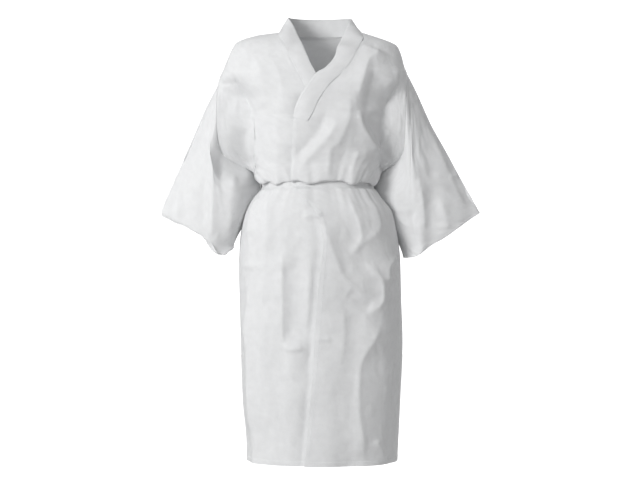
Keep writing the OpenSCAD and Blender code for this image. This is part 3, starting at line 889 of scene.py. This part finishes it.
@dataclass
class Sleeve:
    """One wide set-in sleeve, which hangs folded flat beside the body."""

    side: Side
    form: BodyForm
    cloth: bpy.types.Material
    thread: bpy.types.Material
    outer: Sequence[tuple[float, float, float]]
    inner: Sequence[tuple[float, float, float]]
    end: Sequence[tuple[float, float, float]]
    folds: tuple[Fold, ...]
    hinge: tuple[float, float]
    bend_from: float
    bend_to: float
    thickness: float = 0.0005
    half_cols: int = 62
    rows: int = 92
    cuff_depth: float = 0.046
    puff: float = 0.012
    forward: float = 0.020
    arm_room: float = 0.010
    hem_from: float = 0.957
    hem_lift: float = 0.0005
    wave: float = 0.003

    def armhole(self, u: np.ndarray, face: int) -> np.ndarray:
        """The armhole's edge: u runs from its top to the underarm."""
        top = self.form.armhole_tops[self.side]
        d = top + (self.form.underarm - top) * (1 - np.cos(math.pi * u)) / 2
        x = self.form.half(self.side, d) + 0.0006
        return np.stack([x, face * self.form.rim(self.side, d, True), -d], -1)

    def face_grid(self, face: int, u: np.ndarray, v: np.ndarray) -> np.ndarray:
        """Points of the front (face -1) or the back (face 1) of the sleeve, drawn at +x."""
        start = self.armhole(u, face)[None]
        e = smooth_line(self.end, u) * np.array([MM, 1, MM])
        cuff = np.stack([e[:, 0], face * np.maximum(e[:, 1], 0) * self.cuff_depth
                         + 0.004 * u * u, e[:, 2]], -1)[None]
        t = v[:, None, None]
        sides = []
        for line in (self.outer, self.inner):
            p = np.asarray(line, float) * MM
            p[0] = self.armhole(np.array([0.0 if line is self.outer else 1.0]), 1)[0]
            straight = p[0] + (p[-1] - p[0]) * v[:, None]
            sides.append((smooth_line(p, v) - straight)[:, None])
        hug = (u[:, None] ** np.array([5, 22, 5]))[None]
        grid = start * (1 - t) + cuff * t + sides[0] * (1 - hug) + sides[1] * hug
        swell = np.sin(math.pi * u)[None] * np.sin(math.pi * v)[:, None]
        grid[..., 1] += face * self.puff * swell
        along = ease(v / 0.3)[:, None]
        grid[..., 1] -= self.forward * ease((grid[..., 0] - 0.275) / 0.12) * along
        off = grid[..., 0] - 0.200
        room = np.exp(-(off / np.where(off > 0, 0.058, 0.045)) ** 2)
        grid[..., 1] += face * (1.0 if face < 0 else 0.3) * self.arm_room * room * along
        return grid

    def grid(self) -> np.ndarray:
        """The whole sleeve, round from the folded outer line and back to it."""
        first = -1 if self.side is Side.RIGHT else 1
        u = np.linspace(0, 1, self.half_cols + 1)
        v = np.unique(np.concatenate([np.linspace(0, 1, self.rows), [0.955, 0.958, 0.997]]))
        self.hem_at = int(np.argmin(np.abs(v - self.hem_from - 0.005)))
        a, b = self.face_grid(first, u, v), self.face_grid(-first, u, v)
        whole = np.concatenate([a, b[:, -2:0:-1]], 1)
        whole[..., 0] *= self.side.value
        normal = grid_normals(whole, True)
        flat = flat_places(whole, True)
        across, drop = whole[..., 0], -whole[..., 2]
        front = normal[..., 1] < 0
        h = sum(f.relief(across, drop) for f in self.folds) * np.where(front, 1.0, 0.5)
        for facets in (Facets(44, 96, 4.2, 17.3 + self.side.value), Facets(22, 36, 1.8, 9.2)):
            h = h + facets.relief(flat[..., 0], flat[..., 1])
        h = h + self.wave * waves(across, (0.09, 0.051), 3.3 + self.side.value) * v[:, None]
        calm = ease(v / 0.2)[:, None] * ease(np.abs(normal[..., 1]) * 1.6)
        low = np.where(v > self.hem_from, self.hem_lift, 0.0)[:, None]
        return whole + normal * (h * calm + low)[..., None]

    def build(self) -> None:
        """Makes the sleeve, its hem stitching and its armhole seam."""
        word = self.side.word
        grid = self.grid()
        piece = sheet_piece(f"{word}_sleeve_cloth", grid, self.thickness, closed=True)
        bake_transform(piece)
        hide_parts(f"{word}_sleeve")
        dress(piece, self.cloth)
        normal = grid_normals(grid, True)
        ring = np.concatenate([grid[self.hem_at], grid[self.hem_at, :1]])
        out = np.concatenate([normal[self.hem_at], normal[self.hem_at, :1]])
        hem = stitches(f"{word}_sleeve_stitching", ring, out)
        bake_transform(hem)
        dress(hem, self.thread)
        ring = np.concatenate([grid[1], grid[1, :1]])
        out = np.concatenate([normal[1], normal[1, :1]])
        sew_on(stitches(f"{word}_armhole_stitching", ring, out), self.thread, "gown_body",
               f"{word}_armhole_seam")


@dataclass
class Neckband:
    """The folded band that is sewn round the neck and down both crossed edges."""

    form: BodyForm
    relief: Relief
    cloth: bpy.types.Material
    thread: bpy.types.Material
    over_lift: float = 0.0056
    under_lift: float = 0.0022
    leaf_gap: float = 0.0011
    thickness: float = 0.0004
    band_arc: float = 0.0022
    band_sway: float = 0.0011
    cols: int = 260
    leaf_rows: int = 12

    def on_front(self, x: float, drop: float, lift: float) -> np.ndarray:
        """A point that lies on the front, x across and drop down, in millimetres."""
        d = np.array([drop * MM])
        phi = self.form.angle(np.array([x * MM]), d)
        return surface(self.form, self.relief, d, phi, lift)[0]

    def edges(self) -> tuple[np.ndarray, np.ndarray]:
        """The band's folded edge and its sewn edge, from the over end round to the under end."""
        over, under = self.over_lift, self.under_lift
        free_sewn = [
            ((-60, 224, over), (-26, 234, over)), ((-54, 196, over), (-13, 212, over)),
            ((-37, 164, over), (1, 182, over)), ((-7, 120, over), (28, 143, over)),
            ((17, 104, over), (52, 121, over)), ((39, 79, over), (79, 89, over)),
            ((48, 50, over), (95, 57, over)), ((58, -56, -26), (105, 38, over)),
            ((70, -34, 2), (111, 23, over)), ((80, -10, 24), (109, -10, -3)),
            ((86, 14, 34), (103, 18, -2)), ((74, 46, 40), (90, 52, -6)),
            ((40, 70, 42), (50, 77, -9)), ((0, 79, 43), (0, 81, -10)),
            ((-40, 70, 42), (-50, 78, -9)), ((-68, 46, 41), (-86, 52, -6)),
            ((-76, 14, 38), (-97, 18, -2)), ((-69, -10, 25), (-99, -10, -3)),
            ((-60, -32, 8), (-97, 22, under)), ((-46, -57, -25), (-80, 50, under)),
            ((-34, 56, under), (-69, 80, under)), ((-19, 93, under), (-52, 114, under)),
            ((-9, 111, under), (-43, 130, under)), ((14, 156, under), (-27, 164, under)),
            ((40, 206, under), (0, 218, under))]

        def place(spot: tuple[float, float, float]) -> np.ndarray:
            """A spot on the front if its last value is a lift, or a free point."""
            if spot[2] in (over, under):
                return self.on_front(*spot)
            return np.array(spot, float) * MM

        t = np.linspace(0, 1, self.cols)
        free = smooth_line([place(a) for a, _ in free_sewn], t)
        sewn = smooth_line([place(b) for _, b in free_sewn], t)
        return free, sewn

    def build(self) -> None:
        """Makes the folded band and the two rows of stitching that hold it."""
        free, sewn = self.edges()
        w = np.linspace(0, 1, self.leaf_rows)[:, None, None]
        flat_band = free[None] * (1 - w) + sewn[None] * w
        out = grid_normals(flat_band, False)
        along = np.linspace(0, 1, self.cols)[None]
        arc = self.band_arc * np.sin(math.pi * w[..., 0])
        lean = self.band_sway * waves(along * 1.1, (0.11, 0.07, 0.043), 4.4) * np.sin(math.pi * w[..., 0])
        front_leaf = flat_band + out * (arc + lean)[..., None]
        behind = front_leaf - out * self.leaf_gap * (0.25 + 0.75 * np.sin(math.pi * w) ** 0.5)
        nose = flat_band[:1] - (flat_band[1:2] - flat_band[:1]) * 0.18 - out[:1] * self.leaf_gap / 2
        folded = np.concatenate([behind[::-1], nose, front_leaf], 0)
        band = sheet_piece("folded_neckband", folded, self.thickness)
        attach(band, "gown_body")
        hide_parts("neckband")
        dress(band, self.cloth)
        normal = grid_normals(front_leaf, False)
        for name, row in (("neckband_seam_stitching", -2), ("neckband_fold_stitching", 1)):
            sew_on(stitches(name, front_leaf[row, 3:-3], normal[row, 3:-3]), self.thread,
                   "gown_body")


@dataclass
class Belt:
    """The narrow tie belt, its knot behind the left hip, its two ends and its side loops."""

    form: BodyForm
    back_relief: Relief
    cloth: bpy.types.Material
    width: float = 0.025
    thickness: float = 0.0011
    lift: float = 0.0022
    knot_angle: float = 148.0
    knot_stand: float = 0.0058
    wrap_radius: float = 0.0098
    wrap_thickness: float = 0.0048
    core_radius: float = 0.0095
    long_end: float = 0.230
    short_end: float = 0.165
    ring_cols: int = 420

    def ring_point(self, drop: np.ndarray, phi: np.ndarray, lift: np.ndarray | float) -> np.ndarray:
        """A point of the tied waist, which is level under the belt."""
        tied = np.full(np.shape(drop), self.form.waist)
        base = self.form.point(tied, phi) + self.form.normal(tied, phi) * np.asarray(lift)[..., None]
        base[..., 2] = -drop
        return base

    def ring(self) -> bpy.types.Object:
        """The belt round the waist, creased lengthways where it is pulled tight."""
        phi = np.linspace(-180, 180, self.ring_cols, endpoint=False)[None]
        w = np.linspace(-0.5, 0.5, 11)[:, None]
        girth = np.radians(phi) * 0.12
        sway = 0.0012 * waves(girth, (0.11, 0.053), 1.1)
        curl = 0.0011 * np.abs(2 * w) ** 3 + 0.0005 * waves(girth + w * 0.02, (0.03, 0.017), 2.5)
        drop = self.form.waist + w * self.width + sway
        grid = self.ring_point(*np.broadcast_arrays(drop, phi), self.lift - curl)
        belt = sheet_piece("waist_belt_strip", grid, self.thickness, closed=True)
        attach(belt, "gown_body")
        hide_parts("waist_belt")
        return belt

    def knot(self) -> bpy.types.Object:
        """The flat knot: a wrap round the crossing strips, modelled from primitives."""
        at = self.ring_point(np.array([self.form.waist]), np.array([self.knot_angle]), self.lift)[0]
        away = self.form.normal(np.array([self.form.waist]), np.array([self.knot_angle]))[0]
        turn = math.atan2(away[1], away[0])
        centre = at + away * self.knot_stand
        bpy.ops.object.select_all(action="DESELECT")
        bpy.ops.mesh.primitive_torus_add(major_segments=48, minor_segments=20,
                                         major_radius=self.wrap_radius,
                                         minor_radius=self.wrap_thickness, location=centre,
                                         rotation=(math.pi / 2, 0, turn))
        wrap = bpy.context.object
        bpy.ops.object.transform_apply(location=False, rotation=True, scale=True)
        bpy.ops.mesh.primitive_uv_sphere_add(segments=40, ring_count=24, radius=self.core_radius,
                                             location=centre, rotation=(0, 0, turn))
        core = bpy.context.object
        core.scale = (0.62, 1.75, 0.95)
        bpy.ops.object.transform_apply(location=False, rotation=True, scale=True)
        bpy.ops.object.select_all(action="DESELECT")
        core.select_set(True)
        wrap.select_set(True)
        bpy.context.view_layer.objects.active = wrap
        bpy.ops.object.join()
        wrap.name = "tied_knot"
        bpy.ops.object.transform_apply(location=True, rotation=True, scale=True)
        co = np.array([v.co for v in wrap.data.vertices])
        local = co - centre
        out = local / np.maximum(np.linalg.norm(local, axis=1, keepdims=True), 1e-9)
        crease = Facets(9, 7, 1.7, 21.0).relief(local[:, 0] + local[:, 1], local[:, 2])
        co = co + out * crease[:, None]
        inward = np.clip(-(co - at) @ away + 0.0004, 0, None)
        co = co + away * inward[:, None]
        wrap.data.vertices.foreach_set("co", co.reshape(-1))
        wrap.data.update()
        select_only(wrap)
        bpy.ops.object.shade_smooth()
        while wrap.data.uv_layers:
            wrap.data.uv_layers.remove(wrap.data.uv_layers[0])
        uv = wrap.data.uv_layers.new(name="Flat")
        for loop in wrap.data.loops:
            x, y, z = co[loop.vertex_index]
            uv.data[loop.index].uv = (x + y, z)
        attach(wrap, "gown_body")
        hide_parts("belt_knot")
        return wrap

    def loose_end(self, name: str, node: str, shift: float, length: float,
                  lean: float) -> bpy.types.Object:
        """One loose end, which falls from the knot over the back of the skirt."""
        knot = self.ring_point(np.array([self.form.waist]), np.array([self.knot_angle]), 0.0)[0]
        v = np.linspace(0, 1, 70)[:, None]
        w = np.linspace(0.5, -0.5, 9)[None]
        drop = self.form.waist + 0.004 + v * length
        spread = 0.45 + 0.55 * ease(v / 0.16)
        twist = 0.0022 * np.sin(v * 9 + shift * 300) * (2 * w)
        x = knot[0] + shift * ease(v / 0.3) + lean * v + w * self.width * spread
        x, drop = np.broadcast_arrays(x, drop)
        phi = 180 - self.form.angle(x, drop)
        off = 0.0095 - 0.0055 * ease(v / 0.35) + 0.004 * ease((v - 0.5) / 0.5) + twist
        grid = surface(self.form, self.back_relief, drop, phi, np.broadcast_to(off, x.shape))
        piece = sheet_piece(name, grid, self.thickness)
        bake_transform(piece)
        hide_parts(node)
        return piece

    def loop(self, side: Side) -> bpy.types.Object:
        """A narrow loop at the side seam that keeps the belt at the waist."""
        path = [(359, 1.2), (362, 4.2), (367, 6.2), (374, 6.6), (380, 6.8), (386, 6.6),
                (393, 6.2), (398, 4.2), (402, 1.2)]
        p = smooth_line(path, np.linspace(0, 1, 36)) * MM
        y = np.linspace(-0.004, 0.004, 7) * side.value
        drop, off = np.broadcast_arrays(p[:, :1], p[:, 1:])
        x = side.value * (self.form.half(side, np.maximum(drop, 0.0)) + off)
        x = np.where(np.abs(drop - self.form.waist) < 0.016,
                     side.value * (self.form.half(side, np.full(drop.shape, self.form.waist)) + off), x)
        grid = np.stack(np.broadcast_arrays(x, y[None], -drop), 2)
        piece = sheet_piece(f"{side.word}_loop_strip", grid, 0.0008)
        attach(piece, "gown_body")
        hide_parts(f"{side.word}_belt_loop")
        return piece

    def build(self) -> None:
        """Makes and dresses every piece of the belt."""
        pieces = [
            self.ring(), self.knot(),
            self.loose_end("long_belt_end", "belt_end_long", -0.016, self.long_end, -0.014),
            self.loose_end("short_belt_end", "belt_end_short", 0.014, self.short_end, 0.008),
            self.loop(Side.LEFT), self.loop(Side.RIGHT)]
        for piece in pieces:
            dress(piece, self.cloth)


@dataclass
class BodySeams:
    """The sewn lines along the shoulders and down the sides of the skirt."""

    form: BodyForm
    thread: bpy.types.Material

    def shoulder(self, side: Side) -> bpy.types.Object:
        """The stitching along one shoulder."""
        d = np.linspace(0.007, self.form.armhole_tops[side] - 0.002, 60)
        x = side.value * (self.form.half(side, d) + 0.0006)
        y = self.form.shoulder_back * (1 - ease(d / 0.06))
        line = np.stack([x, y, 0.0006 - d], 1)
        out = np.cross(np.gradient(line, axis=0), np.array([0.0, side.value, 0.0]))
        out /= np.linalg.norm(out, axis=1, keepdims=True)
        out *= np.sign(out[:, 2:3] + 1e-9)
        return stitches(f"{side.word}_shoulder_stitching", line, out)

    def flank(self, side: Side) -> bpy.types.Object:
        """The stitching down one side, from under the belt to the hem."""
        d = np.linspace(0.398, self.form.hem - 0.001, 220)
        line = np.stack([side.value * (self.form.half(side, d) + 0.0005), 0.0022 + 0 * d, -d], 1)
        out = np.repeat([[side.value, 0.0, 0.0]], len(d), 0)
        return stitches(f"{side.word}_side_stitching", line, out)

    def build(self) -> None:
        """Makes and dresses the four seams."""
        for side in Side:
            for piece, node in ((self.shoulder(side), "shoulder_seam"), (self.flank(side), "side_seam")):
                sew_on(piece, self.thread, "gown_body", f"{side.word}_{node}")


# ---- Studio --------------------------------------------------------------------------
@dataclass(frozen=True)
class Studio:
    """Pale floor, white surround, three soft lamps, and the camera.

    Each lamp is a name, a place, a size in metres and a power in watts.
    """

    floor_level: float = -1.45
    camera_at: tuple[float, float, float] = (-0.014, -3.70, -0.549)
    lens: float = 84.6
    sky_strength: float = 0.47
    lamps: tuple[tuple[str, tuple[float, float, float], float, float], ...] = (
        ("key", (-2.7, -2.9, 0.8), 1.3, 118), ("back", (1.9, 3.4, 0.9), 1.8, 42),
        ("fill", (-0.6, -4.2, -0.2), 2.6, 9))
    room_radius: float = 9.0

    def surround(self) -> None:
        """The floor and a plain round wall."""
        bpy.ops.object.select_all(action="DESELECT")
        bpy.ops.mesh.primitive_circle_add(vertices=96, radius=self.room_radius, fill_type="NGON",
                                          location=(0, 0, self.floor_level))
        floor = bpy.context.object
        floor.name = "floor"
        bpy.ops.object.select_all(action="DESELECT")
        bpy.ops.mesh.primitive_cylinder_add(vertices=96, radius=self.room_radius, depth=12,
                                            end_fill_type="NOTHING",
                                            location=(0, 0, self.floor_level + 6))
        wall = bpy.context.object
        wall.name = "surround"
        floor.data.materials.append(StudioFinish("floor_finish", 0.95, 0.78).material())
        wall.data.materials.append(StudioFinish("surround_finish", 1.0, 1.0).material())
        for far in (floor, wall):
            far.visible_diffuse = False
            far.visible_glossy = False
            far.visible_transmission = False
        wall.visible_shadow = False

    def light(self, name: str, at: tuple[float, float, float], size: float, watts: float) -> None:
        """One square soft light aimed at the middle of the gown."""
        data = bpy.data.lights.new(name, "AREA")
        data.shape = "SQUARE"
        data.size = size
        data.energy = watts
        lamp = bpy.data.objects.new(name, data)
        bpy.context.scene.collection.objects.link(lamp)
        lamp.location = at
        aim = np.array([0.0, 0.0, -0.5]) - np.array(at)
        flat = math.hypot(aim[0], aim[1])
        lamp.rotation_euler = (math.atan2(flat, -aim[2]), 0, math.atan2(aim[0], -aim[1]) + math.pi)

    def build(self) -> None:
        """Makes the surround, the lights, the sky and the camera."""
        self.surround()
        for lamp in self.lamps:
            self.light(*lamp)
        world = bpy.data.worlds.new("studio_sky")
        world.use_nodes = True
        sky = world.node_tree.nodes["Background"]
        sky.inputs["Color"].default_value = (1, 1, 1, 1)
        sky.inputs["Strength"].default_value = self.sky_strength
        bpy.context.scene.world = world
        camera = bpy.data.objects.new("camera", bpy.data.cameras.new("camera"))
        bpy.context.scene.collection.objects.link(camera)
        camera.location = self.camera_at
        camera.rotation_euler = (math.pi / 2, 0, 0)
        camera.data.lens = self.lens
        camera.data.sensor_width = 36
        camera.data.clip_end = 60
        bpy.context.scene.camera = camera
        bpy.context.scene.view_settings.view_transform = "Standard"


LEFT_LINES: dict[str, Sequence[tuple[float, float, float]]] = {
    "outer": [(224, 0, -100), (249, 0, -154), (285, 0, -234), (322, 0, -302), (355, 0, -365),
              (390, 0, -428), (405, 0, -456)],
    "inner": [(174, 0, -345), (150, 32, -357), (129, 58, -380), (130, 66, -408), (156, 60, -444),
              (182, 48, -486), (205, 30, -534), (216, 4, -569)],
    "end": [(405, 0, -456), (338, 0.85, -502), (268, 1.1, -548), (240, 1, -567), (216, 0, -569)],
}
RIGHT_LINES: dict[str, Sequence[tuple[float, float, float]]] = {
    "outer": [(253, 0, -134), (285, 0, -197), (307, 0, -248), (328, 0, -297), (361, 0, -372),
              (392, 0, -443), (393, 0, -464)],
    "inner": [(178, 0, -345), (152, 32, -357), (129, 58, -380), (130, 66, -408), (156, 60, -444),
              (182, 48, -478), (204, 30, -516), (215, 4, -545)],
    "end": [(393, 0, -464), (334, 0.85, -492), (275, 1.1, -520), (244, 1, -560), (215, 0, -545)],
}


def main() -> None:
    """Builds the studio and then the gown, piece by piece."""
    logging.basicConfig(level=logging.INFO, format="%(name)s: %(message)s")
    Studio().build()
    cloth = ClothFinish("nonwoven_cloth", (0.90, 0.905, 0.91)).material()
    belt_cloth = ClothFinish("belt_nonwoven", (0.895, 0.90, 0.905), see_through=0.25).material()
    thread = ThreadFinish().material()
    form = BodyForm()
    panels = GownPanels(form, cloth, thread)
    panels.build()
    Sleeve(Side.LEFT, form, cloth, thread, folds=LEFT_SLEEVE_FOLDS, hinge=(0.221, -0.100),
           bend_from=0.067, bend_to=0.200, **LEFT_LINES).build()
    Sleeve(Side.RIGHT, form, cloth, thread, folds=RIGHT_SLEEVE_FOLDS, hinge=(-0.253, -0.134),
           bend_from=0.052, bend_to=0.190, forward=0.0, arm_room=0.034,
           **RIGHT_LINES).build()
    Neckband(form, panels.front_relief, cloth, thread).build()
    Belt(form, panels.back_relief, belt_cloth).build()
    BodySeams(form, thread).build()


if __name__ == "__main__":
    main()
